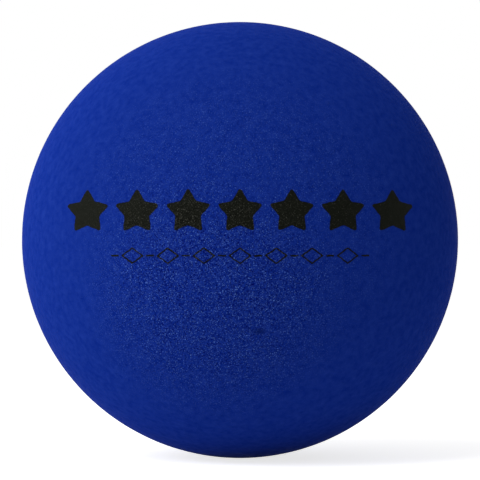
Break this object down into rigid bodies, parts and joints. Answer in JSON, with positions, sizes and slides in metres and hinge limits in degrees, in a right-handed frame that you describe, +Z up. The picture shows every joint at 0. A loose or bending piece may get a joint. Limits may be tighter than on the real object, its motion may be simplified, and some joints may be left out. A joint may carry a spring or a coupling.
{
  "type": "dodgeball",
  "caption": "Soft round dodgeball with a moulded foam core under a tough sprayed skin, for throwing and catching indoors.",
  "frame": {"origin": "the ball's centre", "axes": "+Z up, -Y towards the printed face, +X to the right of someone who faces the print; the mould line lies in the plane y = 0"},
  "size_m": [0.1502, 0.15, 0.1502],
  "materials": {
    "foam": "matte",
    "skin": "satin",
    "print": "satin"
  },
  "bodies": {
    "root": {"foam_core": "foam", "skin": "skin"}
  },
  "joints": []
}
